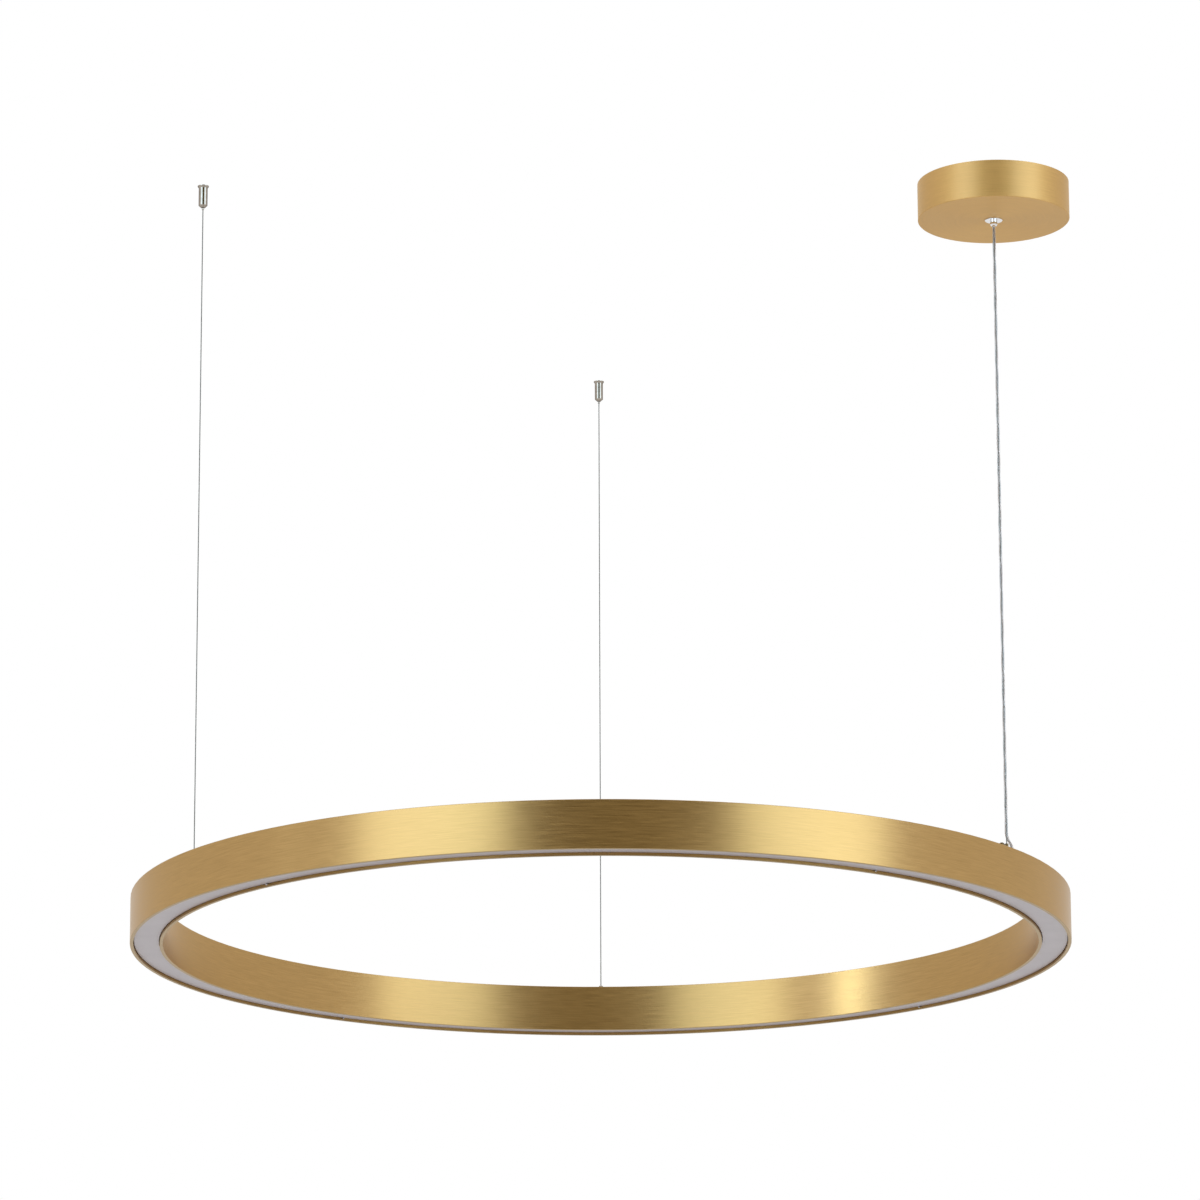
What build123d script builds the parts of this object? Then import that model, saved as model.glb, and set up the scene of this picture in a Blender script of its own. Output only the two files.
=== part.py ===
from build123d import *
import os
from math import cos, hypot, pi, radians, sin, tan

# LED ring chandelier, in millimetres, +Z up.
# The origin is the centre of the canopy on the ceiling, so the ceiling is the plane z = 0.
# The ring hangs below it on three steel cables, and the canopy sits over the right one.

# ring
ring_outer_r = 500.0
ring_width = 35.0
ring_height = 50.0
ring_drop = 775.0            # ceiling to the ring's underside
ring_wall = 2.0
ring_top = 2.0
ring_edge = 0.4              # chamfer on the edges that show
rim_thick = 3.6              # of both walls at their lower edges, beside the diffuser
rim_height = 7.0
ring_join_play = 0.4         # tray sheets to the rims that they pass

# opal diffuser and the pins that it lies on
diffuser_recess = 3.0
diffuser_thick = 2.0
diffuser_play = 0.8          # diffuser to the rims
pin_r = 0.9
pin_hole_play = 0.04
pin_reach = 2.6              # how far a pin stands out of its rim
pin_bed = 2.0                # depth of the outer pins' blind holes
pin_play = 0.05              # pin to diffuser
pin_angles = [44, 126, 224, 306]

# LED tray and boards
shelf_height = 27.0          # underside of the shelves above the ring's underside
shelf_width = 7.5
shelf_thick = 3.0
tray_thick = 1.5
tray_count = 3
tray_gap = 1.0               # between the ends of two tray sheets
tray_screw_count = 2         # along each edge of a sheet
board_width = 16.0
board_thick = 1.6
board_count = 6
board_gap = 2.0
led_count = 18               # on each board
led_length = 3.5
led_width = 2.8
led_height = 0.8

# screws
small_screw_r = 1.45
small_screw_head_r = 2.4
small_screw_head_height = 1.8
screw_hole_play = 0.15
screw_tip_play = 0.2         # driver screws' ends to the ceiling

# suspension
fixing_angles = {"left": 210, "far": 90, "right": 330}
cable_r = 0.6
cable_play = 0.15            # cable in the bores that it runs through
tail_length = 4.0            # cut end above the grip

# ceiling gripper
base_r = 3.6
base_height = 6.0
base_screw_r = 2.0
base_sink_r = 3.2            # countersink for the ceiling screw
thread_play = 0.1
barrel_r = 4.7
barrel_length = 21.6         # ceiling to the start of the lower cone
barrel_cone = 2.4
barrel_tip_r = 2.2
flare_r = 5.9
flare_height = 2.4
grip_cone_low_r = 2.0
grip_cone_high_r = 2.95
grip_cone_low = 18.6         # below the ceiling
grip_cone_high = 9.4
base_shoulder = 0.5          # barrel floor of the thread below the base
nipple_r = 1.1
nipple_play = 0.12
nipple_reach = 2.6           # below the barrel's tip
nipple_edge = 0.2
nipple_edge_height = 0.3
plunger_head_r = 1.85
plunger_head_height = 5.0
plunger_travel = 1.2
ball_r = 0.8
ball_play = 0.05
ball_count = 3
ball_depth = 2.0             # below the plunger's top
ball_pocket_run = 2.4        # through the plunger's wall
spring_wall = 0.55
spring_play = 0.1

# canopy
canopy_r = 80.0
canopy_height = 40.0
canopy_wall = 1.2
canopy_edge = 0.6
plate_play = 0.8             # ceiling plate in the cup
plate_thick = 1.5
slot_spacing = 76.0
slot_length = 14.0
slot_width = 5.0
ear_width = 14.0
ear_drop = 13.0
ear_thick = 3.0
side_screw_drop = 8.0
side_screw_r = 2.0
grommet_x = -26.0
grommet_y = -36.0
grommet_bore_r = 4.0
grommet_r = 6.0
grommet_lip = 1.5

# canopy gland, which takes the cord and the right cable side by side
gland_r = 5.0
gland_hole_play = 0.2
gland_reach = 10.0           # above the canopy's underside
flange_r = 9.3
flange_thick = 1.2
stem_r = 3.9
stem_length = 5.3
nut_height = 3.5
nut_flats = 14.0
cord_to_cable_x = 0.25
cord_to_cable_y = 3.6
collet_bore_r = 1.6
collet_floor = 2.6           # collet's shoulder above the stem's end
collet_r = 1.45
collet_height = 4.2
collet_nipple_reach = 2.4
cap_height = 2.0
cap_play = 0.03

# clear power cord
cord_r = 1.7
cord_play = 0.1
cord_leave_height = 17.0     # above the ring, where it swings over to the bush
cord_drop_height = 9.6       # above the ring, where it turns down into the bush
lead_rise = 14.0             # of the lead to the driver, above the gland

# driver and terminal block
driver_length = 95.0
driver_depth = 42.0
driver_height = 25.0
driver_y = 40.0
driver_round = 2.0
driver_tab = 7.0
driver_tab_thick = 2.0
terminal_length = 30.0
terminal_depth = 17.0
terminal_height = 13.0
terminal_x = 18.0
terminal_y = -40.0
terminal_ways = 3
terminal_way_r = 2.0

# ring fittings
fitting_shank_r = 3.0
fitting_shank_drop = 12.0    # below the ring's top face
fitting_hole_play = 0.1
fitting_flange_r = 5.0
fitting_flange = 1.0
fitting_cone_height = 3.2
fitting_cone_inset = 1.0     # of the cone's foot from the flange's edge
fitting_tip_r = 1.9
sleeve_height = 9.0          # of the right fitting, above its flange
stop_r = 1.7
stop_height = 5.5
stop_play = 0.15
stop_seat = 3.0              # the stop's shoulder below the ring's top face
washer_r = 6.2
washer_thick = 1.0
ring_nut_height = 4.0
ring_nut_flats = 10.0

# what stands beside the right fitting, along the ring
dome_offset = -11.3
dome_r = 3.3
dome_height = 9.4
dome_stud_r = 2.0
dome_stud_drop = 9.0
entry_offset = 13.5
bush_r = 3.2
bush_flange_r = 4.6
bush_flange = 1.4
bush_drop = 8.0
anchor_length = 38.0
anchor_width = 16.0
anchor_thick = 2.0
connector_length = 20.0
connector_width = 9.0
connector_height = 7.0
connector_offset = 40.0
connector_edge = 1.0
wire_hole_r = 1.1
wire_hole_depth = 3.0

# places that follow from the sizes
mean_r = ring_outer_r - ring_width / 2
ring_inner_r = ring_outer_r - ring_width
ring_low = -ring_drop
ring_face = ring_low + ring_height
cord_pitch = hypot(cord_to_cable_x, cord_to_cable_y)
cord_bore_r = cord_r + cord_play
gland_top = canopy_height - gland_reach
stem_shift = (cord_pitch + cord_bore_r - collet_bore_r) / 2 / cord_pitch
cable_x = -cord_to_cable_x * stem_shift
cable_y = -cord_to_cable_y * stem_shift
cord_x = cable_x + cord_to_cable_x
cord_y = cable_y + cord_to_cable_y
ring_x = cable_x - mean_r * cos(radians(fixing_angles["right"]))
ring_y = cable_y - mean_r * sin(radians(fixing_angles["right"]))
fixings = {
    name: (ring_x + mean_r * cos(radians(angle)), ring_y + mean_r * sin(radians(angle)))
    for name, angle in fixing_angles.items()
}
board_low = shelf_height - tray_thick - board_thick
stem_end = -canopy_height - flange_thick - stem_length
tip_z = -barrel_length - barrel_cone
spring_r = plunger_head_r - spring_play


def turned(points, x=0.0, y=0.0, z=0.0, start=0.0, sweep=360.0):
    """A half-section of (radius, height) points turned about the upright axis at x, y."""
    section = make_face(Polyline(*[(r, 0, h) for r, h in points], close=True))
    solid = revolve(section, Axis.Z, sweep)
    return Pos(x, y, z) * Rot(0, 0, start) * solid


def sleeve(outer, inner, low, high, x=0.0, y=0.0):
    """A plain ring or disc between two heights."""
    body = Pos(x, y, low) * Cylinder(outer, high - low, align=(Align.CENTER, Align.CENTER, Align.MIN))
    return body - bore(inner, low, high, x, y) if inner else body


def bore(r, low, high, x=0.0, y=0.0):
    """The solid that a round hole takes away, just past both its ends."""
    over = 0.01
    tool = Cylinder(r, high - low + 2 * over, align=(Align.CENTER, Align.CENTER, Align.MIN))
    return Pos(x, y, low - over) * tool


def hexagon(flats, hole_r, low, high, x=0.0, y=0.0, turn=0.0):
    """A nut blank between two heights."""
    outline = RegularPolygon(flats / 2, 6, major_radius=False, rotation=turn)
    return Pos(x, y, low) * extrude(outline, high - low) - bore(hole_r, low, high, x, y)


def on_ring(angle, radius=mean_r):
    """A place over the ring at an angle about its centre."""
    return ring_x + radius * cos(radians(angle)), ring_y + radius * sin(radians(angle))


def beside_right(offset):
    """A place beside the right fitting, along the ring."""
    angle = radians(fixing_angles["right"])
    return fixings["right"][0] - offset * sin(angle), fixings["right"][1] + offset * cos(angle)


def bend_radii(points):
    """The largest arc that both runs of each corner allow."""
    radii = []
    for before, corner, after in zip(points, points[1:], points[2:]):
        one = Vector(*corner) - Vector(*before)
        two = Vector(*after) - Vector(*corner)
        turn = radians(one.get_angle(two))
        radii.append(0.45 * min(one.length, two.length) / tan(turn / 2))
    return radii


def run_of_cord(name, points, r):
    """A round cord along straight runs joined by arcs."""
    radii = bend_radii(points)
    line = FilletPolyline(*points, radius=radii)
    start = Plane(origin=line @ 0, z_dir=line % 0)
    cord = sweep(start * Circle(r), path=line)
    print(name, "radii", [round(v, 1) for v in radii], "length", round(line.length, 1),
          "volume / section x length", round(cord.volume / (pi * r * r * line.length), 4))
    return cord


def ring_housing():
    """Channel section, open below, with a thick rim on each wall and a shelf over the tray."""
    inner = ring_inner_r
    outer = ring_outer_r
    section = [
        (inner + ring_edge, 0), (inner + rim_thick, 0), (inner + rim_thick, rim_height),
        (inner + ring_wall, rim_height), (inner + ring_wall, shelf_height),
        (inner + ring_wall + shelf_width, shelf_height),
        (inner + ring_wall + shelf_width, shelf_height + shelf_thick),
        (inner + ring_wall, shelf_height + shelf_thick), (inner + ring_wall, ring_height - ring_top),
        (outer - ring_wall, ring_height - ring_top), (outer - ring_wall, shelf_height + shelf_thick),
        (outer - ring_wall - shelf_width, shelf_height + shelf_thick),
        (outer - ring_wall - shelf_width, shelf_height), (outer - ring_wall, shelf_height),
        (outer - ring_wall, rim_height), (outer - rim_thick, rim_height), (outer - rim_thick, 0),
        (outer - ring_edge, 0), (outer, ring_edge), (outer, ring_height - ring_edge),
        (outer - ring_edge, ring_height), (inner + ring_edge, ring_height),
        (inner, ring_height - ring_edge), (inner, ring_edge),
    ]
    housing = turned(section, ring_x, ring_y, ring_low)
    top_low = ring_face - ring_top
    for x, y in fixings.values():
        housing -= bore(fitting_shank_r + fitting_hole_play, top_low, ring_face, x, y)
    housing -= bore(dome_stud_r + fitting_hole_play, top_low, ring_face, *beside_right(dome_offset))
    housing -= bore(bush_r + fitting_hole_play, top_low, ring_face, *beside_right(entry_offset))
    for angle, radius in tray_screw_places():
        hole_low = ring_low + shelf_height
        housing -= bore(small_screw_r + screw_hole_play, hole_low, hole_low + shelf_thick,
                        *on_ring(angle, radius))
    for angle in pin_angles:
        housing -= pin_pair(angle, pin_r + pin_hole_play)
    return housing


def pin_pair(angle, r):
    """A pin through the inner rim and a shorter one bedded in the outer rim, under the diffuser."""
    height = ring_low + diffuser_recess - pin_play - pin_r
    inner_length = rim_thick + pin_reach
    outer_length = pin_bed + pin_reach
    outer_end = ring_outer_r - rim_thick + pin_bed
    inner_pin = Pos(ring_inner_r + inner_length / 2, 0, 0) * Rot(0, 90, 0) * Cylinder(r, inner_length)
    outer_pin = Pos(outer_end - outer_length / 2, 0, 0) * Rot(0, 90, 0) * Cylinder(r, outer_length)
    return Pos(ring_x, ring_y, height) * Rot(0, 0, angle) * (inner_pin + outer_pin)


def diffuser_pins():
    """Pins pressed into the rims. The diffuser lies on them."""
    pins = [solid for angle in pin_angles for solid in pin_pair(angle, pin_r).solids()]
    return Compound(children=pins)


def diffuser():
    """Flat opal sheet ring."""
    low = diffuser_recess
    inner = ring_inner_r + rim_thick + diffuser_play
    outer = ring_outer_r - rim_thick - diffuser_play
    section = [(inner, low), (outer, low), (outer, low + diffuser_thick), (inner, low + diffuser_thick)]
    return turned(section, ring_x, ring_y, ring_low)


def tray_screw_places():
    """(angle, radius) of every tray screw."""
    tray_edge = rim_thick + ring_join_play
    edge = (tray_edge + ring_wall + shelf_width) / 2
    sheet = 360 / tray_count
    places = []
    for sheet_number in range(tray_count):
        for screw_number in range(tray_screw_count):
            angle = sheet * (sheet_number + (screw_number + 0.5) / tray_screw_count)
            places.append((angle, ring_inner_r + edge))
            places.append((angle, ring_outer_r - edge))
    return places


def arc_strip(inner, outer, low, high, number, count, gap):
    """One of count equal arcs of a flat ring, with a gap between their ends."""
    pause = gap / mean_r * 180 / pi
    sweep_angle = 360 / count - pause
    section = [(inner, low), (outer, low), (outer, high), (inner, high)]
    start = 360 / count * number + pause / 2
    return turned(section, ring_x, ring_y, ring_low, start, sweep_angle)


def led_tray(number):
    """Aluminium sheet arc, passed up between the rims and screwed under both shelves."""
    inner = ring_inner_r + rim_thick + ring_join_play
    outer = ring_outer_r - rim_thick - ring_join_play
    low = shelf_height - tray_thick
    sheet = arc_strip(inner, outer, low, shelf_height, number, tray_count, tray_gap)
    for angle, radius in tray_screw_places():
        if number * 360 / tray_count < angle < (number + 1) * 360 / tray_count:
            sheet -= bore(small_screw_r + screw_hole_play, ring_low + low, ring_low + shelf_height,
                          *on_ring(angle, radius))
    return sheet


def led_board(number):
    """Board arc under the tray, with its LEDs facing down."""
    high = shelf_height - tray_thick
    board = arc_strip(mean_r - board_width / 2, mean_r + board_width / 2, board_low, high,
                      number, board_count, board_gap)
    leds = []
    for led in range(led_count):
        angle = 360 / board_count * (number + (led + 0.5) / led_count)
        x, y = on_ring(angle)
        package = Box(led_width, led_length, led_height, align=(Align.CENTER, Align.CENTER, Align.MAX))
        leds.append(Pos(x, y, ring_low + board_low) * Rot(0, 0, angle) * package)
    return board.fuse(*leds)


def tray_screws():
    """Pan-head screws through the tray into the shelves."""
    head_high = ring_low + shelf_height - tray_thick
    shank_high = ring_low + shelf_height + shelf_thick
    screws = []
    for angle, radius in tray_screw_places():
        x, y = on_ring(angle, radius)
        head = sleeve(small_screw_head_r, 0, head_high - small_screw_head_height, head_high, x, y)
        screws.append((head + sleeve(small_screw_r, 0, head_high, shank_high, x, y)).solid())
    return Compound(children=screws)


def ring_fitting(name):
    """Threaded fitting in the ring's top, bored for the cable and its stop."""
    x, y = fixings[name]
    flange_high = fitting_flange
    if name == "right":
        tip = [(fitting_tip_r, flange_high), (fitting_tip_r, flange_high + sleeve_height)]
    else:
        tip = [(fitting_flange_r - fitting_cone_inset, flange_high), (fitting_tip_r, flange_high + fitting_cone_height)]
    cable_bore = cable_r + cable_play
    section = [
        (cable_bore, -stop_seat), (stop_r + stop_play, -stop_seat), (stop_r + stop_play, -fitting_shank_drop),
        (fitting_shank_r, -fitting_shank_drop), (fitting_shank_r, 0), (fitting_flange_r, 0),
        (fitting_flange_r, flange_high), *tip, (cable_bore, tip[-1][1]),
    ]
    return turned(section, x, y, ring_face)


def ring_washers():
    """Washers under the ring's top at the left and far fittings."""
    high = ring_face - ring_top
    hole = fitting_shank_r + fitting_hole_play
    return Compound(children=[
        sleeve(washer_r, hole, high - washer_thick, high, *fixings[name]) for name in ("left", "far")
    ])


def ring_nuts():
    """Nuts that clamp the three ring fittings."""
    nuts = []
    for name, (x, y) in fixings.items():
        under = anchor_thick if name == "right" else washer_thick
        high = ring_face - ring_top - under
        hole = fitting_shank_r + thread_play
        nut = hexagon(ring_nut_flats, hole, high - ring_nut_height, high, x, y, fixing_angles[name])
        nuts.append(nut)
    return Compound(children=nuts)


def cable_stops():
    """Sleeves swaged on the cables' lower ends, drawn up against the fittings' shoulders."""
    high = ring_face - stop_seat
    return Compound(children=[
        sleeve(stop_r, cable_r + cap_play, high - stop_height, high, x, y) for x, y in fixings.values()
    ])


def anchor_plate():
    """Plate under the ring's top that ties the right fitting, the dome nut and the cord bush."""
    x, y = fixings["right"]
    high = ring_face - ring_top
    middle = (dome_offset + entry_offset) / 2
    outline = Pos(middle, 0) * SlotOverall(anchor_length, anchor_width)
    plate = extrude(outline, -anchor_thick)
    plate = Pos(x, y, high) * Rot(0, 0, fixing_angles["right"] + 90) * plate
    low = high - anchor_thick
    plate -= bore(fitting_shank_r + fitting_hole_play, low, high, x, y)
    plate -= bore(dome_stud_r + fitting_hole_play, low, high, *beside_right(dome_offset))
    plate -= bore(bush_r + fitting_hole_play, low, high, *beside_right(entry_offset))
    return plate


def dome_stud():
    """Dome-headed stud with its nut run down under the anchor plate."""
    x, y = beside_right(dome_offset)
    skirt = dome_height - dome_r
    dome = sleeve(dome_r, 0, ring_face, ring_face + skirt, x, y)
    cap = Pos(x, y, ring_face + skirt) * Sphere(dome_r)
    cap &= sleeve(dome_r * 2, 0, ring_face + skirt, ring_face + dome_height + 1, x, y)
    return dome + cap + sleeve(dome_stud_r, 0, ring_face - dome_stud_drop, ring_face, x, y)


def dome_stud_nut():
    """Nut on the stud, inside the ring."""
    x, y = beside_right(dome_offset)
    high = ring_face - ring_top - anchor_thick
    return hexagon(2 * dome_r + 0.4, dome_stud_r + thread_play, high - ring_nut_height * 0.8, high, x, y)


def cord_bush():
    """Clear bush where the power cord enters the ring."""
    x, y = beside_right(entry_offset)
    section = [
        (cord_bore_r, -bush_drop), (bush_r, -bush_drop), (bush_r, 0), (bush_flange_r, 0),
        (bush_flange_r, bush_flange / 2), (bush_flange_r - bush_flange / 2, bush_flange), (cord_bore_r, bush_flange),
    ]
    return turned(section, x, y, ring_face)


def ring_connector():
    """Push-wire connector lying on the tray sheet."""
    angle = fixing_angles["right"]
    x, y = beside_right(connector_offset)
    low = ring_low + shelf_height
    body = Box(connector_width, connector_length, connector_height,
               align=(Align.CENTER, Align.CENTER, Align.MIN))
    body = chamfer(body.edges().group_by(Axis.Z)[-1], connector_edge)
    side = connector_length / 2
    for way in (-1, 1):
        hole = Pos(way * connector_width / 4, -side, connector_height / 2) * Rot(90, 0, 0)
        body -= hole * Cylinder(wire_hole_r, 2 * wire_hole_depth)
    return Pos(x, y, low) * Rot(0, 0, angle) * body


def ring_lead():
    """Inner end of the power cord, from the bush's mouth to the connector."""
    x, y = beside_right(entry_offset)
    high = ring_face + bush_flange
    low = ring_low + shelf_height + connector_height / 2
    end = beside_right(connector_offset - connector_length / 2)
    return run_of_cord("ring_lead", [(x, y, high), (x, y, low), (end[0], end[1], low)], cord_r)


def gripper_base(name):
    """Turned base that a countersunk screw holds to the ceiling."""
    x, y = fixings[name]
    sink = base_sink_r - base_screw_r
    section = [
        (base_screw_r, 0), (base_r, 0), (base_r, -base_height), (base_sink_r, -base_height),
        (base_screw_r, -base_height + sink),
    ]
    return turned(section, x, y)


def gripper_barrel(name):
    """Flared barrel on the base, with a cone inside that closes on the balls."""
    x, y = fixings[name]
    thread_r = base_r + thread_play
    thread_low = -base_height - base_shoulder
    exit_r = nipple_r + nipple_play
    section = [
        (thread_r, 0), (flare_r, 0), (flare_r, -flare_height / 4), (barrel_r, -flare_height),
        (barrel_r, -barrel_length), (barrel_tip_r, tip_z), (exit_r, tip_z), (exit_r, -grip_cone_low - 0.2),
        (grip_cone_low_r, -grip_cone_low), (grip_cone_high_r, -grip_cone_high),
        (grip_cone_high_r, thread_low), (thread_r, thread_low),
    ]
    return turned(section, x, y)


def plunger_top():
    """Height of the top of a ceiling gripper's plunger."""
    return -grip_cone_low + 0.3 + plunger_head_height


def gripper_release(name):
    """Plunger that carries the balls, and its nipple under the barrel."""
    x, y = fixings[name]
    cable_bore = cable_r + cable_play
    top = plunger_top()
    section = [
        (cable_bore, top), (plunger_head_r, top), (plunger_head_r, top - plunger_head_height),
        (nipple_r, top - plunger_head_height), (nipple_r, tip_z - nipple_reach + nipple_edge_height),
        (nipple_r - nipple_edge, tip_z - nipple_reach), (cable_bore, tip_z - nipple_reach),
    ]
    plunger = turned(section, x, y)
    for ball in range(ball_count):
        pocket = Cylinder(ball_r + ball_play, ball_pocket_run)
        window = Pos(plunger_head_r / 2 + cable_bore / 2, 0, 0) * Rot(0, 90, 0) * pocket
        plunger -= Pos(x, y, top - ball_depth) * Rot(0, 0, 360 / ball_count * ball) * window
    return plunger


def gripper_balls(name):
    """Balls between the cable and the barrel's cone."""
    x, y = fixings[name]
    orbit = cable_r + ball_r + ball_play
    place = Pos(x, y, plunger_top() - ball_depth)
    return Compound(children=[
        place * Rot(0, 0, 360 / ball_count * ball) * Pos(orbit, 0, 0) * Sphere(ball_r)
        for ball in range(ball_count)
    ])


def gripper_spring(name):
    """Plain stand-in for the coil spring over the plunger."""
    x, y = fixings[name]
    high = -base_height - spring_play
    return sleeve(spring_r, spring_r - spring_wall, plunger_top() + spring_play, high, x, y)


def cable_top(name):
    """Height of a cable's cut end."""
    if name == "right":
        return -gland_top + tail_length
    return plunger_top() + tail_length


def suspension_cable(name):
    """Steel cable, pulled straight between its grip and its stop."""
    low = ring_face - stop_seat - stop_height
    return sleeve(cable_r, 0, low, cable_top(name), *fixings[name])


def canopy_cup():
    """Drum with a flat floor, bored for the gland and for the side screws."""
    inner = canopy_r - canopy_wall
    floor = -canopy_height + canopy_wall
    section = [
        (0, floor), (inner, floor), (inner, 0), (canopy_r, 0), (canopy_r, -canopy_height + canopy_edge),
        (canopy_r - canopy_edge, -canopy_height), (0, -canopy_height),
    ]
    cup = turned(section)
    cup -= bore(gland_r + gland_hole_play, -canopy_height, floor)
    return cup - side_screw_tool(side_screw_r + screw_hole_play)


def side_screw_tool(r):
    """A round bar through both sides of the canopy at the side screws."""
    return Pos(0, 0, -side_screw_drop) * Rot(0, 90, 0) * Cylinder(r, 2 * canopy_r + 2)


def ceiling_plate():
    """Pressed plate that two screws hold to the ceiling. Its ears take the side screws."""
    plate_r = canopy_r - canopy_wall - plate_play
    plate = sleeve(plate_r, 0, -plate_thick, 0)
    for side in (-1, 1):
        ear = Box(ear_thick, ear_width, ear_drop, align=(Align.CENTER, Align.CENTER, Align.MAX))
        plate += Pos(side * (plate_r - ear_thick), 0, 0) * ear
        slot = Pos(side * slot_spacing / 2, 0, -plate_thick - 1) * extrude(
            SlotOverall(slot_length, slot_width), plate_thick + 2)
        plate -= slot
    plate -= bore(grommet_r, -plate_thick, 0, grommet_x, grommet_y)
    for x in driver_screw_places():
        plate -= bore(small_screw_r + thread_play, -plate_thick, 0, x, driver_y)
    return plate - side_screw_tool(side_screw_r + thread_play)


def canopy_screws():
    """Set screws through the cup into the ears, flush with the cup's side."""
    length = canopy_wall + plate_play + ear_thick * 1.5
    screws = []
    for side in (-1, 1):
        screw = Rot(0, 90 * side, 0) * Cylinder(side_screw_r, length, align=(Align.CENTER, Align.CENTER, Align.MAX))
        socket = Rot(0, 90 * side, 0) * extrude(RegularPolygon(side_screw_r / 2, 6), -1.5)
        screws.append((Pos(side * (canopy_r - 0.2), 0, -side_screw_drop) * (screw - socket)).solid())
    return Compound(children=screws)


def mains_grommet():
    """Rubber grommet in the ceiling plate for the supply cable."""
    waist = grommet_r - 0.1
    section = [
        (grommet_bore_r, 0), (waist, 0), (waist, -plate_thick), (grommet_r + grommet_lip, -plate_thick),
        (grommet_r + grommet_lip, -plate_thick - grommet_lip), (grommet_bore_r, -plate_thick - grommet_lip),
    ]
    return turned(section, grommet_x, grommet_y)


def driver_screw_places():
    """Both places along X of the driver's screws."""
    reach = (driver_length - driver_tab) / 2
    return -reach, reach


def driver():
    """LED driver, with a screw tab at each end, flat against the ceiling plate."""
    body = Box(driver_length - 2 * driver_tab, driver_depth, driver_height,
               align=(Align.CENTER, Align.CENTER, Align.MAX))
    body = fillet(body.edges().filter_by(Axis.Z), driver_round)
    body = chamfer(body.edges().group_by(Axis.Z)[0], driver_round / 2)
    tab = Box(driver_length, driver_depth / 2, driver_tab_thick, align=(Align.CENTER, Align.CENTER, Align.MAX))
    case = body + tab
    for x in driver_screw_places():
        case -= bore(small_screw_r + screw_hole_play, -driver_tab_thick, 0, x)
    return Pos(0, driver_y, -plate_thick) * case


def driver_screws():
    """Screws through the driver's tabs into the ceiling plate."""
    low = -plate_thick - driver_tab_thick
    screws = []
    for x in driver_screw_places():
        head = sleeve(small_screw_head_r, 0, low - small_screw_head_height, low, x, driver_y)
        screws.append((head + sleeve(small_screw_r, 0, low, -screw_tip_play, x, driver_y)).solid())
    return Compound(children=screws)


def terminal_block():
    """Screw terminal block for the mains supply, flat against the ceiling plate."""
    block = Box(terminal_length, terminal_depth, terminal_height,
                align=(Align.CENTER, Align.CENTER, Align.MAX))
    pitch = terminal_length / terminal_ways
    for way in range(terminal_ways):
        x = (way - (terminal_ways - 1) / 2) * pitch
        block -= Pos(x, 0, -terminal_height * 0.6) * Rot(90, 0, 0) * Cylinder(terminal_way_r, terminal_depth + 2)
        block -= Pos(x, 0, -terminal_height) * Cylinder(terminal_way_r, terminal_height * 0.5)
    return Pos(terminal_x, terminal_y, -plate_thick) * block


def collet_floor_z():
    """Height of the shoulder that the collet rests on."""
    return stem_end + collet_floor


def canopy_gland():
    """Flanged gland through the cup's floor, bored for the cord and for the cable's collet."""
    flange_low = -canopy_height - flange_thick
    section = [
        (0, stem_end), (stem_r - 0.8, stem_end), (stem_r, stem_end + 1.2), (stem_r, flange_low),
        (flange_r - 0.5, flange_low), (flange_r, flange_low + 0.4), (flange_r, -canopy_height),
        (gland_r, -canopy_height), (gland_r, -gland_top), (0, -gland_top),
    ]
    gland = turned(section)
    gland -= bore(cord_bore_r, stem_end, -gland_top, cord_x, cord_y)
    gland -= bore(nipple_r + nipple_play, stem_end, -gland_top, cable_x, cable_y)
    return gland - bore(collet_bore_r, collet_floor_z(), -gland_top, cable_x, cable_y)


def gland_nut():
    """Lock nut on the gland, on the cup's floor."""
    low = -canopy_height + canopy_wall
    return hexagon(nut_flats, gland_r + thread_play, low, low + nut_height)


def canopy_collet():
    """Collet that grips the right cable, with its nipple beside the cord."""
    low = collet_floor_z()
    cable_bore = cable_r + cable_play
    section = [
        (cable_bore, low + collet_height), (collet_r, low + collet_height), (collet_r, low),
        (nipple_r, low), (nipple_r, stem_end - collet_nipple_reach + nipple_edge_height),
        (nipple_r - nipple_edge, stem_end - collet_nipple_reach), (cable_bore, stem_end - collet_nipple_reach),
    ]
    return turned(section, cable_x, cable_y)


def canopy_spring():
    """Plain stand-in for the coil spring over the collet."""
    low = collet_floor_z() + collet_height + spring_play
    high = -gland_top - cap_height - spring_play
    return sleeve(collet_r, collet_r - spring_wall, low, high, cable_x, cable_y)


def canopy_spring_cap():
    """Plug that closes the collet's bore."""
    return sleeve(collet_bore_r - cap_play, cable_r + cable_play, -gland_top - cap_height, -gland_top,
                  cable_x, cable_y)


def canopy_lead():
    """Inner end of the power cord, from the gland to the driver."""
    bend_z = -gland_top + lead_rise
    driver_face = driver_y - driver_depth / 2
    return run_of_cord("canopy_lead", [
        (cord_x, cord_y, -gland_top), (cord_x, cord_y, bend_z), (cord_x, driver_face, bend_z),
    ], cord_r)


def power_cord():
    """Clear cord, straight beside the cable, then over to the bush in the ring's top."""
    end_x, end_y = beside_right(entry_offset)
    return run_of_cord("power_cord", [
        (cord_x, cord_y, -gland_top),
        (cord_x, cord_y, ring_face + cord_leave_height),
        (end_x, end_y, ring_face + cord_drop_height),
        (end_x, end_y, ring_face + bush_flange),
    ], cord_r)


def save(name, shape):
    shape.label = name
    export_step(shape, f"parts/{name}.step")


os.makedirs("parts", exist_ok=True)

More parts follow.
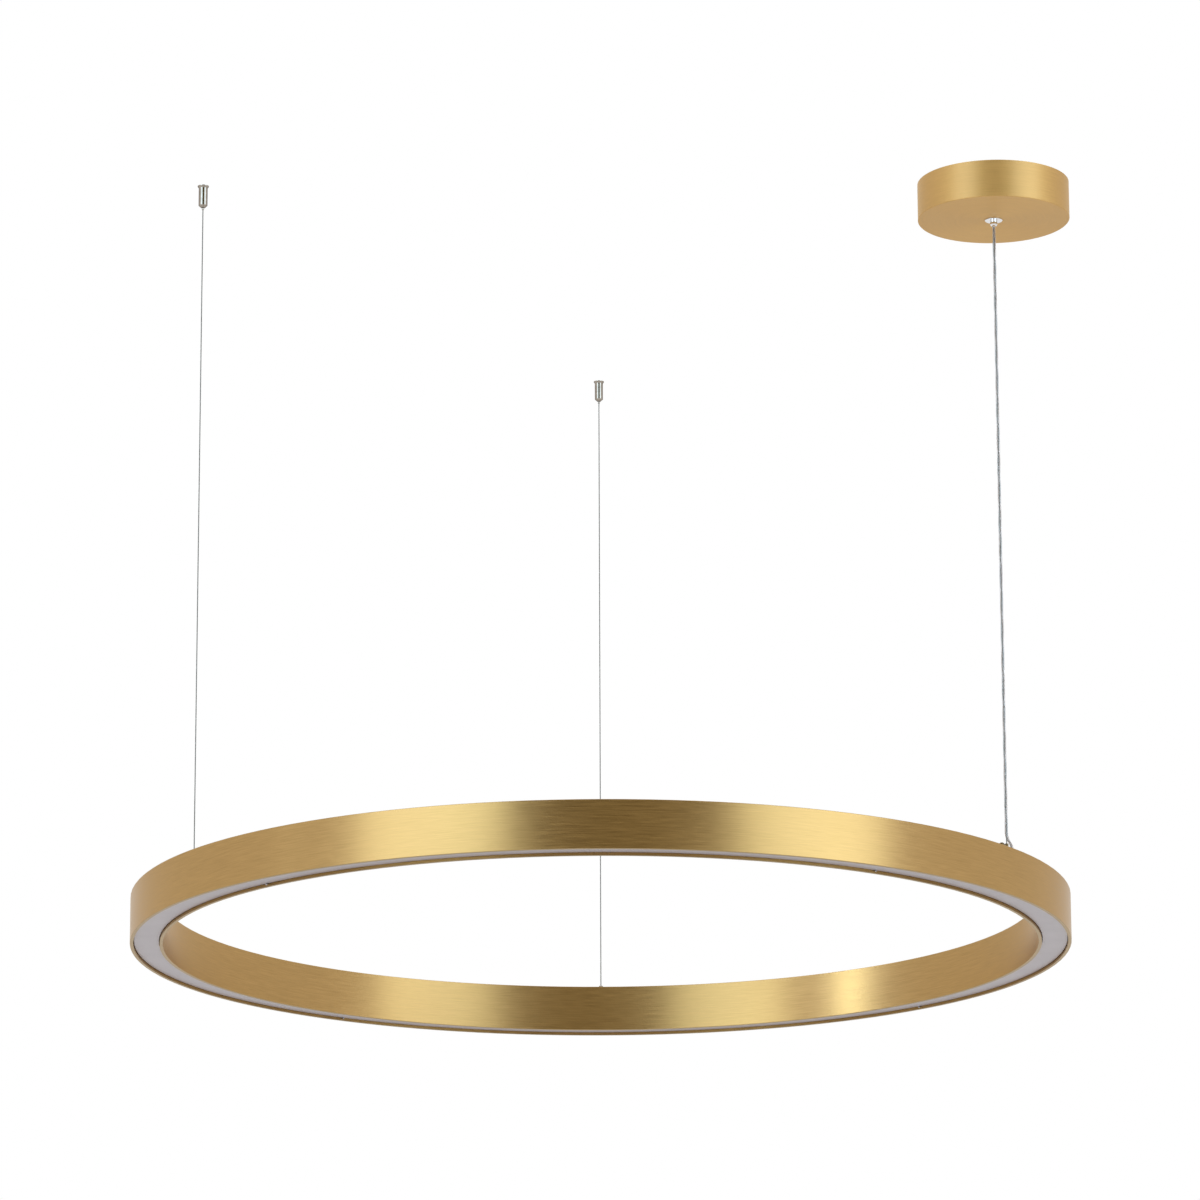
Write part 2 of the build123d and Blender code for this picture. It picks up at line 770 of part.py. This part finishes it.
save("ring_housing", ring_housing())
save("diffuser", diffuser())
save("diffuser_pins", diffuser_pins())
for number in range(tray_count):
    save(f"led_tray_{number + 1}", led_tray(number))
for number in range(board_count):
    save(f"led_board_{number + 1}", led_board(number))
save("tray_screws", tray_screws())
for name in fixings:
    save(f"{name}_ring_fitting", ring_fitting(name))
    save(f"{name}_cable", suspension_cable(name))
save("ring_washers", ring_washers())
save("ring_nuts", ring_nuts())
save("cable_stops", cable_stops())
save("anchor_plate", anchor_plate())
save("dome_stud", dome_stud())
save("dome_stud_nut", dome_stud_nut())
save("cord_bush", cord_bush())
save("ring_connector", ring_connector())
save("ring_lead", ring_lead())
for name in ("left", "far"):
    save(f"{name}_gripper_base", gripper_base(name))
    save(f"{name}_gripper_barrel", gripper_barrel(name))
    save(f"{name}_release", gripper_release(name))
    save(f"{name}_gripper_balls", gripper_balls(name))
    save(f"{name}_gripper_spring", gripper_spring(name))
save("ceiling_plate", ceiling_plate())
save("canopy_cup", canopy_cup())
save("canopy_screws", canopy_screws())
save("mains_grommet", mains_grommet())
save("driver", driver())
save("driver_screws", driver_screws())
save("terminal_block", terminal_block())
save("canopy_gland", canopy_gland())
save("gland_nut", gland_nut())
save("canopy_collet", canopy_collet())
save("canopy_spring", canopy_spring())
save("canopy_spring_cap", canopy_spring_cap())
save("canopy_lead", canopy_lead())
save("power_cord", power_cord())
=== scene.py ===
import bpy
from math import ceil, cos, pi, radians, sin
from mathutils import Euler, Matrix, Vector


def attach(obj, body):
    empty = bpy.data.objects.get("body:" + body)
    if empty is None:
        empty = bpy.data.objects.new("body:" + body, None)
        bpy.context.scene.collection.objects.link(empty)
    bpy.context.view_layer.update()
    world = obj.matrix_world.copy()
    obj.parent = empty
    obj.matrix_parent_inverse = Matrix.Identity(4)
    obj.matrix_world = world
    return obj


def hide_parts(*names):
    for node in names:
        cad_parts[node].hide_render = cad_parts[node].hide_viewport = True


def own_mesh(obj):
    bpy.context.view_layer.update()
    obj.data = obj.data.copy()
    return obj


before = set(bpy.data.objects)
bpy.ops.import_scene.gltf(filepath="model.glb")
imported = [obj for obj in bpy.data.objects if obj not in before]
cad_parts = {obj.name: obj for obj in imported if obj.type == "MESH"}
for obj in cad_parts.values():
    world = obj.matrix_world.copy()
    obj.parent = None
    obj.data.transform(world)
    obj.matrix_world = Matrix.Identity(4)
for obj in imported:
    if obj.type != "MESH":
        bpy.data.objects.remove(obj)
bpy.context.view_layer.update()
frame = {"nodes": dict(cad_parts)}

nodes = frame["nodes"]

# Places that most pieces share, in metres. The ring hangs round ringCentre.
ringCentre = (-0.417989, 0.239350)
ringLow = -0.775
leftAxis = (-0.835846, -0.001900)
farAxis = (-0.417989, 0.721850)
rightAxis = (-0.000132, -0.001900)


# camera
camera = {
    "place": (-0.41751, -6.14166, -2.06232),
    "pitch": 14.677,     # degrees up
    "roll": -0.2,
    "lens": 183.17,      # mm on a 36 mm frame
}

eye = bpy.data.cameras.new("eye")
eye.lens = camera["lens"]
eye.sensor_width = 36
eye.clip_end = 60
eyeHolder = bpy.data.objects.new("eye", eye)
eyeHolder.location = camera["place"]
turn = Euler((radians(90 + camera["pitch"]), 0, 0)).to_matrix()
eyeHolder.rotation_euler = (turn @ Euler((0, 0, radians(camera["roll"]))).to_matrix()).to_euler()
bpy.context.scene.collection.objects.link(eyeHolder)
bpy.context.scene.camera = eyeHolder
print("camera placed")


# lines and tubes

def smoothLine(route):
    # the NURBS line of a route, as close points
    curve = bpy.data.curves.new("route", "CURVE")
    curve.dimensions = "3D"
    spline = curve.splines.new("NURBS")
    spline.points.add(len(route) - 1)
    for point, place in zip(spline.points, route):
        point.co = (*place, 1)
    spline.order_u = 3
    spline.use_endpoint_u = True
    spline.resolution_u = 24
    holder = bpy.data.objects.new("route", curve)
    mesh = bpy.data.meshes.new_from_object(holder)
    line = [v.co.copy() for v in mesh.vertices]
    bpy.data.meshes.remove(mesh)
    bpy.data.objects.remove(holder)
    bpy.data.curves.remove(curve)
    return line


def evenSteps(line, step):
    # the same line with its points about one step apart
    lengths = [0]
    for a, b in zip(line, line[1:]):
        lengths.append(lengths[-1] + (b - a).length)
    count = max(2, ceil(lengths[-1] / step))
    points, at = [], 0
    for i in range(count + 1):
        want = lengths[-1] * i / count
        while at < len(line) - 2 and lengths[at + 1] < want:
            at += 1
        run = lengths[at + 1] - lengths[at]
        points.append(line[at].lerp(line[at + 1], (want - lengths[at]) / run if run else 0))
    return points


def sideways(line):
    # two directions square to the line at each point, turned as little as possible on the way
    ahead = [(b - a).normalized() for a, b in zip(line, line[1:])]
    ahead.append(ahead[-1])
    first = ahead[0].orthogonal().normalized()
    pairs = []
    for direction in ahead:
        first = (first - direction * first.dot(direction)).normalized()
        pairs.append((first, direction.cross(first)))
    return pairs


def newPiece(name, points, faces):
    # a mesh piece whose four-cornered faces are smooth and whose ends are flat
    mesh = bpy.data.meshes.new(name)
    mesh.from_pydata([tuple(p) for p in points], [], faces)
    for face in mesh.polygons:
        face.use_smooth = len(face.vertices) == 4
    mesh.update()
    piece = bpy.data.objects.new(name, mesh)
    bpy.context.scene.collection.objects.link(piece)
    return piece


def strandMesh(name, line, strands, sides):
    # strands are (distance from the line, turn at the start, radius, pitch), each one closed tube
    pairs = sideways(line)
    gone = [0]
    for a, b in zip(line, line[1:]):
        gone.append(gone[-1] + (b - a).length)
    points, faces = [], []
    for away, start, radius, pitch in strands:
        first = len(points)
        for place, (u, v), along in zip(line, pairs, gone):
            angle = start + (2 * pi * along / pitch if pitch else 0)
            middle = place + (u * cos(angle) + v * sin(angle)) * away
            for side in range(sides):
                a = 2 * pi * side / sides + angle
                points.append(middle + (u * cos(a) + v * sin(a)) * radius)
        for row in range(len(line) - 1):
            for side in range(sides):
                a = first + row * sides + side
                b = first + row * sides + (side + 1) % sides
                faces.append((a, b, b + sides, a + sides))
        last = first + (len(line) - 1) * sides
        faces.append(tuple(range(first + sides - 1, first - 1, -1)))
        faces.append(tuple(range(last, last + sides)))
    return newPiece(name, points, faces)


# cords: three steel suspension cables and the clear power cord
steelCable = {
    "radius": 0.0006,
    "strands": 6,
    "pitch": 0.0085,     # length of one turn of a strand
    "stepsPerTurn": 10,
    "sides": 6,
    "topRun": 0.0072,    # from the cut end to the grip
    "low": -0.7335,      # in the stops under the ring's top plate
}
cableTops = {"left": (leftAxis, -0.0093), "far": (farAxis, -0.0093), "right": (rightAxis, -0.026)}


def suspensionCable(side):
    (x, y), top = cableTops[side]
    route = [(x, y, top), (x, y, top - steelCable["topRun"]), (x, y, steelCable["low"])]
    line = evenSteps(smoothLine(route), steelCable["pitch"] / steelCable["stepsPerTurn"])
    wire = steelCable["radius"] / 3
    strands = [(0, 0, wire, 0)]
    for strand in range(steelCable["strands"]):
        strands.append((2 * wire, 2 * pi * strand / steelCable["strands"], wire, steelCable["pitch"]))
    piece = strandMesh(side + "SuspensionCable", line, strands, steelCable["sides"])
    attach(piece, "ceiling_side")
    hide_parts(side + "_cable")
    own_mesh(piece)
    return piece


clearCord = {
    "radius": 0.0017,
    "sides": 20,
    "step": 0.0015,
    "coreRadius": 0.0005,
    "coreAway": 0.00056,     # from the cord's middle line
    "coreSides": 10,
    "corePitch": 0.06,
    "route": [
        (0.000118, 0.001700, -0.030),
        (0.000118, 0.001700, -0.6953),
        (0.000118, 0.001700, -0.708),
        (0.006618, 0.009792, -0.7154),
        (0.006618, 0.009792, -0.7236),
    ],
}


def powerCord():
    route = clearCord["route"]
    line = evenSteps(smoothLine(route), clearCord["step"])
    radius = clearCord["radius"]
    jacket = strandMesh("powerCordJacket", line, [(0, 0, radius, 0)], clearCord["sides"])
    twins = []
    for name, start in (("powerCordCopperCore", 0), ("powerCordTinnedCore", pi)):
        core = (clearCord["coreAway"], start, clearCord["coreRadius"], clearCord["corePitch"])
        twins.append(strandMesh(name, line, [core], clearCord["coreSides"]))
    for piece in (jacket, *twins):
        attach(piece, "ceiling_side")
    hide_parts("power_cord")
    for piece in (jacket, *twins):
        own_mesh(piece)
    return jacket, twins


cablePieces = [suspensionCable(side) for side in cableTops]
cordJacket, cordCores = powerCord()
print("cables and power cord made")


# coil springs that push the release plungers down
coilSprings = {              # place, lowest and highest wire, coil radius, wire radius, joint
    "left_gripper_spring": (leftAxis, -0.0132, -0.0061, 0.00148, 0.00022, "left_release_press"),
    "far_gripper_spring": (farAxis, -0.0132, -0.0061, 0.00148, 0.00022, "far_release_press"),
    "canopy_spring": (rightAxis, -0.0396, -0.0321, 0.00120, 0.00020, "canopy_release_press"),
}
springWinding = {
    "turns": 8,
    "stepsPerTurn": 28,
    "closedRise": 2.1,       # of each end turn, in wire radii, so that it lies on the next
    "sides": 8,
    "travel": 0.0012,        # of the plunger that presses it
}


def coilSpring(node):
    (x, y), low, high, coil, wire, joint = coilSprings[node]
    turns = springWinding["turns"]
    steps = turns * springWinding["stepsPerTurn"]
    closed = springWinding["closedRise"] * wire
    free = high - low - 2 * (wire + closed)
    line = []
    for step in range(steps + 1):
        turn = turns * step / steps
        middle = min(max(turn - 1, 0), turns - 2)
        z = low + wire + closed * (turn - middle) + free * middle / (turns - 2)
        angle = 2 * pi * turn
        line.append(Vector((x + coil * cos(angle), y + coil * sin(angle), z)))
    name = node.replace("_", " ").title().replace(" ", "") + "Coil"
    piece = strandMesh(name, line, [(0, 0, wire, 0)], springWinding["sides"])
    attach(piece, "ceiling_side")
    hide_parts(node)
    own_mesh(piece)
    return piece


# one low yellow lens under each LED package
ledLens = {
    "count": 108,
    "distance": 0.4825,      # from the ring's centre
    "height": -0.7519,
    "radius": 0.00115,
    "crown": 0.00018,
    "sides": 12,
    "rings": ((1, 0), (0.8, 0.6), (0.4, 0.95)),      # shares of the radius and of the crown
}


def ledLenses():
    points, faces = [], []
    sides = ledLens["sides"]
    for led in range(ledLens["count"]):
        turn = 2 * pi * (led + 0.5) / ledLens["count"]
        x = ringCentre[0] + ledLens["distance"] * cos(turn)
        y = ringCentre[1] + ledLens["distance"] * sin(turn)
        first = len(points)
        for share, drop in ledLens["rings"]:
            radius = ledLens["radius"] * share
            z = ledLens["height"] - ledLens["crown"] * drop
            for side in range(sides):
                a = 2 * pi * side / sides
                points.append((x + radius * cos(a), y + radius * sin(a), z))
        for row in range(len(ledLens["rings"]) - 1):
            for side in range(sides):
                a = first + row * sides + side
                b = first + row * sides + (side + 1) % sides
                faces.append((a, a + sides, b + sides, b))
        faces.append(tuple(first + 2 * sides + side for side in range(sides - 1, -1, -1)))
        faces.append(tuple(first + side for side in range(sides)))
    piece = newPiece("ledLenses", points, faces)
    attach(piece, "ring")
    return piece


springPieces = [coilSpring(node) for node in coilSprings]
lenses = ledLenses()
print("springs and lenses made")


# finishes

def finish(name, **sockets):
    # a new material with its shader's sockets set
    material = bpy.data.materials.new(name)
    material.use_nodes = True
    shader = material.node_tree.nodes["Principled BSDF"]
    for socket, value in sockets.items():
        shader.inputs[socket.replace("_", " ")].default_value = value
    return material, material.node_tree.nodes, material.node_tree.links, shader


def objectPlace(nodes):
    return nodes.new("ShaderNodeTexCoord").outputs["Object"]


def calculate(nodes, links, what, a, b=None):
    # one Math node on numbers or on other nodes' outputs
    node = nodes.new("ShaderNodeMath")
    node.operation = what
    for socket, value in zip(node.inputs, (a, b)):
        if value is None:
            continue
        if isinstance(value, (int, float)):
            socket.default_value = value
        else:
            links.new(value, socket)
    return node.outputs[0]


def noise(nodes, links, vector, scale, detail=3, roughness=0.5):
    node = nodes.new("ShaderNodeTexNoise")
    node.inputs["Scale"].default_value = scale
    node.inputs["Detail"].default_value = detail
    node.inputs["Roughness"].default_value = roughness
    links.new(vector, node.inputs["Vector"])
    return node.outputs["Fac"]


def spread(nodes, links, value, low, high, fromLow=0.3, fromHigh=0.7):
    # a pattern's value carried over to the range low to high
    node = nodes.new("ShaderNodeMapRange")
    node.inputs["From Min"].default_value = fromLow
    node.inputs["From Max"].default_value = fromHigh
    node.inputs["To Min"].default_value = low
    node.inputs["To Max"].default_value = high
    links.new(value, node.inputs["Value"])
    return node.outputs["Result"]


def tones(nodes, links, value, colours):
    # a pattern's value turned into colours, each given with its place on the ramp
    node = nodes.new("ShaderNodeValToRGB")
    ramp = node.color_ramp
    while len(ramp.elements) < len(colours):
        ramp.elements.new(0.5)
    for element, (at, colour) in zip(ramp.elements, colours):
        element.position = at
        element.color = (*colour, 1)
    links.new(value, node.inputs["Fac"])
    return node.outputs["Color"]


def grainBump(nodes, links, shader, height, strength, distance):
    node = nodes.new("ShaderNodeBump")
    node.inputs["Strength"].default_value = strength
    node.inputs["Distance"].default_value = distance
    links.new(height, node.inputs["Height"])
    links.new(node.outputs["Normal"], shader.inputs["Normal"])


def turnedLines(nodes, links, centre, along, across):
    # a vector whose pattern runs in lines round a vertical axis, on walls and on flat faces alike
    parts = nodes.new("ShaderNodeSeparateXYZ")
    links.new(objectPlace(nodes), parts.inputs[0])
    x = calculate(nodes, links, "SUBTRACT", parts.outputs["X"], centre[0])
    y = calculate(nodes, links, "SUBTRACT", parts.outputs["Y"], centre[1])
    squares = calculate(nodes, links, "ADD", calculate(nodes, links, "MULTIPLY", x, x),
                        calculate(nodes, links, "MULTIPLY", y, y))
    radius = calculate(nodes, links, "SQRT", squares)
    line = calculate(nodes, links, "ADD", radius, parts.outputs["Z"])
    vector = nodes.new("ShaderNodeCombineXYZ")
    links.new(calculate(nodes, links, "MULTIPLY", x, along), vector.inputs["X"])
    links.new(calculate(nodes, links, "MULTIPLY", y, along), vector.inputs["Y"])
    links.new(calculate(nodes, links, "MULTIPLY", line, across), vector.inputs["Z"])
    return vector.outputs[0]


# brushed brass colour of the ring and of the canopy's cup
brushLines = {               # how close the pattern is along and across the lines
    "fine": (45, 2300),
    "broad": (24, 900),
    "fineShare": 0.7,
    "cloud": 6,
    "cloudRoughness": 0.03,
    "bump": (0.25, 0.00004),
}
brushedRing = {
    "dark": (0.345, 0.204, 0.059),
    "light": (0.475, 0.286, 0.094),
    "edge": (0.30, 0.225, 0.125),        # greyer colour of the lowest edge of the walls, beside the diffuser
    "edgeHeights": (ringLow + 0.0001, ringLow + 0.0004),
    "grazing": (0.78, 0.66, 0.50, 1),    # tint where the metal is seen edge on
    "roughness": (0.30, 0.42),
    "anisotropy": 0.7,
    "lacquer": 0.4,
}
brushedCanopy = {
    "dark": (0.50, 0.303, 0.096),
    "light": (0.61, 0.375, 0.128),
    "grazing": (0.96, 0.88, 0.74, 1),
    "roughness": (0.54, 0.64),
    "anisotropy": 0.5,
    "lacquer": 0.3,
}


def brushedGold(name, centre, look):
    material, nodes, links, shader = finish(name, Metallic=1.0, Anisotropic=look["anisotropy"],
                                            Anisotropic_Rotation=0.25, Coat_Weight=look["lacquer"],
                                            Coat_Roughness=0.32, Coat_IOR=1.6,
                                            Specular_Tint=look["grazing"])
    fine = noise(nodes, links, turnedLines(nodes, links, centre, *brushLines["fine"]), 1, 2)
    broad = noise(nodes, links, turnedLines(nodes, links, centre, *brushLines["broad"]), 1, 3)
    cloud = noise(nodes, links, objectPlace(nodes), brushLines["cloud"], 3)
    share = brushLines["fineShare"]
    mixed = calculate(nodes, links, "ADD", calculate(nodes, links, "MULTIPLY", fine, share),
                      calculate(nodes, links, "MULTIPLY", broad, 1 - share))
    colour = tones(nodes, links, mixed, [(0.3, look["dark"]), (0.7, look["light"])])
    if "edge" in look:
        # the lowest edge of the walls gets a greyer colour
        parts = nodes.new("ShaderNodeSeparateXYZ")
        links.new(objectPlace(nodes), parts.inputs[0])
        lowestEdge = spread(nodes, links, parts.outputs["Z"], 1, 0, *look["edgeHeights"])
        mix = nodes.new("ShaderNodeMix")
        mix.data_type = "RGBA"
        mix.inputs["B"].default_value = (*look["edge"], 1)
        links.new(lowestEdge, mix.inputs["Factor"])
        links.new(colour, mix.inputs["A"])
        colour = mix.outputs["Result"]
    links.new(colour, shader.inputs["Base Color"])
    uneven = brushLines["cloudRoughness"]
    rough = calculate(nodes, links, "ADD", spread(nodes, links, mixed, *look["roughness"]),
                      spread(nodes, links, cloud, -uneven, uneven))
    links.new(rough, shader.inputs["Roughness"])
    grainBump(nodes, links, shader, mixed, *brushLines["bump"])
    tangent = nodes.new("ShaderNodeTangent")
    tangent.direction_type = "RADIAL"
    tangent.axis = "Z"
    links.new(tangent.outputs[0], shader.inputs["Tangent"])
    return material


# The diffuser's grey is painted shade: white opal darkened to how its unlit underside looks.
opalSheetAndPaintedShade = {
    "dark": (0.52, 0.465, 0.487),
    "light": (0.56, 0.503, 0.525),
    "cloud": 30,
    "grain": 2600,
    "bump": (0.12, 0.00005),
}


# the diffuser's opal finish, darkened by painted shade
def opalPlasticPaintedShade():
    material, nodes, links, shader = finish("opalPlasticPaintedShade", IOR=1.49, Roughness=0.38)
    cloud = noise(nodes, links, objectPlace(nodes), opalSheetAndPaintedShade["cloud"], 4)
    links.new(tones(nodes, links, cloud, [(0.3, opalSheetAndPaintedShade["dark"]), (0.7, opalSheetAndPaintedShade["light"])]),
              shader.inputs["Base Color"])
    grain = noise(nodes, links, objectPlace(nodes), opalSheetAndPaintedShade["grain"], 2)
    grainBump(nodes, links, shader, grain, *opalSheetAndPaintedShade["bump"])
    return material


# how much finer the grain is than the blotches, and its bump
metalGrain = {"finer": 12, "strength": 0.05, "distance": 0.00003}
plasticGrain = {"finer": 14, "strength": 0.1, "distance": 0.00005}


def plainFinish(name, dark, light, roughness, scale, grain, **sockets):
    # soft blotches, and a grain that is finer than they are
    material, nodes, links, shader = finish(name, **sockets)
    cloud = noise(nodes, links, objectPlace(nodes), scale, 4, 0.6)
    links.new(tones(nodes, links, cloud, [(0.35, dark), (0.65, light)]), shader.inputs["Base Color"])
    links.new(spread(nodes, links, cloud, *roughness), shader.inputs["Roughness"])
    specks = noise(nodes, links, objectPlace(nodes), scale * grain["finer"], 2)
    grainBump(nodes, links, shader, specks, grain["strength"], grain["distance"])
    return material


def plainMetal(name, dark, light, roughness, scale, **sockets):
    return plainFinish(name, dark, light, roughness, scale, metalGrain, Metallic=1.0, **sockets)


def plainPlastic(name, dark, light, roughness, scale, strength=plasticGrain["strength"], **sockets):
    grain = {**plasticGrain, "strength": strength}
    return plainFinish(name, dark, light, roughness, scale, grain, **sockets)


# each plain finish has its darkest and lightest colour, its roughness range and its blotches per metre
ringGold = brushedGold("ringGold", ringCentre, brushedRing)
canopyGold = brushedGold("canopyGold", (0, 0), brushedCanopy)
opalPaintedShade = opalPlasticPaintedShade()
# Chrome is given a darker, warmer colour than polished chrome has, and a dark edge tint: painted shade in
# its reflections.
chromePaintedShade = plainMetal("polishedChromePaintedShade", (0.29, 0.255, 0.215), (0.38, 0.335, 0.285), (0.06, 0.14), 180,
                    Specular_Tint=(0.16, 0.16, 0.17, 1))
brightChrome = plainMetal("brightChrome", (0.64, 0.63, 0.63), (0.74, 0.73, 0.73), (0.05, 0.12), 180)
zinc = plainMetal("zincPlate", (0.55, 0.57, 0.60), (0.68, 0.69, 0.70), (0.28, 0.42), 260)
mill = plainMetal("millAluminium", (0.66, 0.67, 0.68), (0.75, 0.76, 0.77), (0.35, 0.48), 120)
darkBrass = plainMetal("darkBrass", (0.10, 0.065, 0.028), (0.17, 0.115, 0.055), (0.30, 0.45), 700)
strandedSteel = plainMetal("strandedSteel", (0.16, 0.15, 0.135), (0.31, 0.295, 0.27), (0.28, 0.42), 900)
brightSteel = plainMetal("brightSteel", (0.55, 0.55, 0.57), (0.66, 0.66, 0.68), (0.15, 0.28), 500)
# The cores are painted darker than bare copper and tinned wire: painted shade, as they are seen through
# the clear jacket.
copperCorePaintedShade = plainMetal("copperCorePaintedShade", (0.34, 0.25, 0.19), (0.46, 0.36, 0.29), (0.28, 0.4), 800)
tinnedCorePaintedShade = plainMetal("tinnedCorePaintedShade", (0.27, 0.265, 0.24), (0.38, 0.375, 0.35), (0.28, 0.4), 800)
boardWhite = plainPlastic("boardWhite", (0.80, 0.80, 0.77), (0.86, 0.86, 0.84), (0.35, 0.5), 300)
yellowLens = plainPlastic("yellowLens", (0.78, 0.58, 0.12), (0.86, 0.68, 0.20), (0.2, 0.3), 900)
blackRubber = plainPlastic("blackRubber", (0.02, 0.02, 0.02), (0.035, 0.035, 0.035), (0.6, 0.75), 400)
driverShell = plainPlastic("driverShell", (0.74, 0.74, 0.73), (0.80, 0.80, 0.79), (0.42, 0.52), 150, 0.25)
terminalShell = plainPlastic("terminalShell", (0.70, 0.69, 0.66), (0.77, 0.76, 0.73), (0.3, 0.42), 200)
clearVinyl = plainPlastic("clearVinyl", (0.90, 0.86, 0.86), (0.96, 0.93, 0.93), (0.08, 0.16), 500, 0.03,
                          Transmission_Weight=0.74, IOR=1.45)

nodeFinishes = {
    ringGold: ["ring_housing"],
    canopyGold: ["canopy_cup"],
    opalPaintedShade: ["diffuser"],
    chromePaintedShade: ["left_ring_fitting", "far_ring_fitting", "left_gripper_barrel", "far_gripper_barrel",
             "left_gripper_base", "far_gripper_base", "left_release", "far_release",
             "canopy_spring_cap"],
    brightChrome: ["canopy_gland", "canopy_collet"],
    zinc: ["tray_screws", "ring_washers", "ring_nuts", "anchor_plate", "dome_stud_nut", "driver_screws",
           "canopy_screws", "ceiling_plate", "gland_nut"],
    mill: ["led_tray_1", "led_tray_2", "led_tray_3"],
    darkBrass: ["right_ring_fitting", "dome_stud"],
    brightSteel: ["diffuser_pins", "left_gripper_spring", "far_gripper_spring", "canopy_spring",
                  "left_gripper_balls", "far_gripper_balls", "cable_stops"],
    boardWhite: [f"led_board_{number}" for number in range(1, 7)],
    blackRubber: ["mains_grommet"],
    driverShell: ["driver"],
    terminalShell: ["terminal_block", "ring_connector"],
    clearVinyl: ["canopy_lead", "ring_lead", "cord_bush"],
}


def dress(piece, material):
    if not piece.material_slots:
        piece.data.materials.append(material)
    for materialSlot in piece.material_slots:
        materialSlot.material = material


for material, names in nodeFinishes.items():
    for name in names:
        dress(nodes[name], material)
for piece in cablePieces:
    dress(piece, strandedSteel)
for piece in springPieces:
    dress(piece, brightSteel)
dress(lenses, yellowLens)
dress(cordJacket, clearVinyl)
for piece, material in zip(cordCores, (copperCorePaintedShade, tinnedCorePaintedShade)):
    dress(piece, material)
print("finishes given")


# studio
studio = {
    "floorHeight": -9.5,     # far down, so that the lit underside can be looked at from below
    "floorHalf": 60,
    "floorCloud": 0.8,
    "floorColour": (0.82, 0.82, 0.81),
    "daylight": 0.62,        # what the world gives to diffuse surfaces
    "floorGlow": 0.49,       # added where the floor is seen, so that it looks near white
    "frontShade": (0.17, 0.14, 0.05),    # what metal sees behind the camera, where 1 is white
    "shadeEdge": (0.55, 0.93),           # where that shade begins and is full
    "lampColour": (0.60, 0.81, 1.0),
    "lampAim": (*ringCentre, -0.45),
}
lamps = {                    # azimuth from the camera's side, height, width, tall, distance, watts
    "leftFront": (-38, 0.1, 2.0, 3.1, 3.2, 64),
    "rightFront": (49, 0.1, 2.1, 3.1, 3.2, 60),
    "leftSide": (-77, -0.3, 0.6, 2.0, 3.2, 0.9),
    "above": (180, 2.2, 2.4, 1.2, 2.6, 14),
}
sideLamp = {                 # it lights only the ring's far right wall
    "name": "leftSide",
    "spread": 20,            # degrees
    "aim": (ringCentre[0] + 0.32, ringCentre[1] + 0.50, -0.75),
}


def makeFloor():
    mesh = bpy.data.meshes.new("floor")
    half = studio["floorHalf"]
    corners = [(-half, -half, 0), (half, -half, 0), (half, half, 0), (-half, half, 0)]
    mesh.from_pydata(corners, [], [(0, 1, 2, 3)])
    floor = bpy.data.objects.new("floor", mesh)
    floor.location = (*ringCentre, studio["floorHeight"])
    bpy.context.scene.collection.objects.link(floor)
    material, floorNodes, links, shader = finish("floorPaint", Roughness=0.7)
    cloud = noise(floorNodes, links, objectPlace(floorNodes), studio["floorCloud"], 3)
    light = studio["floorColour"]
    dark = [0.99 * part for part in light]
    links.new(tones(floorNodes, links, cloud, [(0.3, dark), (0.7, light)]), shader.inputs["Base Color"])
    rays = floorNodes.new("ShaderNodeLightPath").outputs
    seen = calculate(floorNodes, links, "MAXIMUM", rays["Is Camera Ray"], rays["Is Glossy Ray"])
    seen = calculate(floorNodes, links, "MAXIMUM", seen, rays["Is Transmission Ray"])
    glow = calculate(floorNodes, links, "MULTIPLY", seen, studio["floorGlow"])
    shader.inputs["Emission Color"].default_value = (1, 1, 1, 1)
    links.new(glow, shader.inputs["Emission Strength"])
    dress(floor, material)


def makeLamps():
    middle = Vector(studio["lampAim"])
    for name, (azimuth, height, width, tall, distance, watts) in lamps.items():
        light = bpy.data.lights.new(name, "AREA")
        light.shape = "RECTANGLE"
        light.size, light.size_y = width, tall
        light.energy = watts
        light.color = studio["lampColour"]
        holder = bpy.data.objects.new(name, light)
        holder.location = (middle.x + distance * sin(radians(azimuth)),
                           middle.y - distance * cos(radians(azimuth)), height)
        aim = middle
        if name == sideLamp["name"]:
            light.spread = radians(sideLamp["spread"])
            aim = Vector(sideLamp["aim"])
        holder.rotation_euler = (aim - holder.location).to_track_quat("-Z", "Y").to_euler()
        bpy.context.scene.collection.objects.link(holder)


def makeWorld():
    # white where the camera looks, softer light on the object, and a shaded side behind the camera
    world = bpy.data.worlds.new("studioAir")
    bpy.context.scene.world = world
    world.use_nodes = True
    worldNodes, links = world.node_tree.nodes, world.node_tree.links
    background = worldNodes["Background"]
    rays = worldNodes.new("ShaderNodeLightPath")
    direction = worldNodes.new("ShaderNodeSeparateXYZ")
    links.new(worldNodes.new("ShaderNodeTexCoord").outputs["Generated"], direction.inputs[0])
    front = calculate(worldNodes, links, "MULTIPLY", direction.outputs["Y"], -1)
    metal = calculate(worldNodes, links, "MAXIMUM", rays.outputs["Is Glossy Ray"],
                      rays.outputs["Is Transmission Ray"])
    behind = spread(worldNodes, links, front, 0, 1, *studio["shadeEdge"])
    shade = calculate(worldNodes, links, "MULTIPLY", metal, behind)
    links.new(tones(worldNodes, links, shade, [(0, (1, 1, 1)), (1, studio["frontShade"])]),
              background.inputs["Color"])
    seen = calculate(worldNodes, links, "MAXIMUM", metal, rays.outputs["Is Camera Ray"])
    links.new(spread(worldNodes, links, seen, studio["daylight"], 1, 0, 1), background.inputs["Strength"])


makeFloor()
makeLamps()
makeWorld()
bpy.context.scene.view_settings.view_transform = "Standard"
print("studio set")
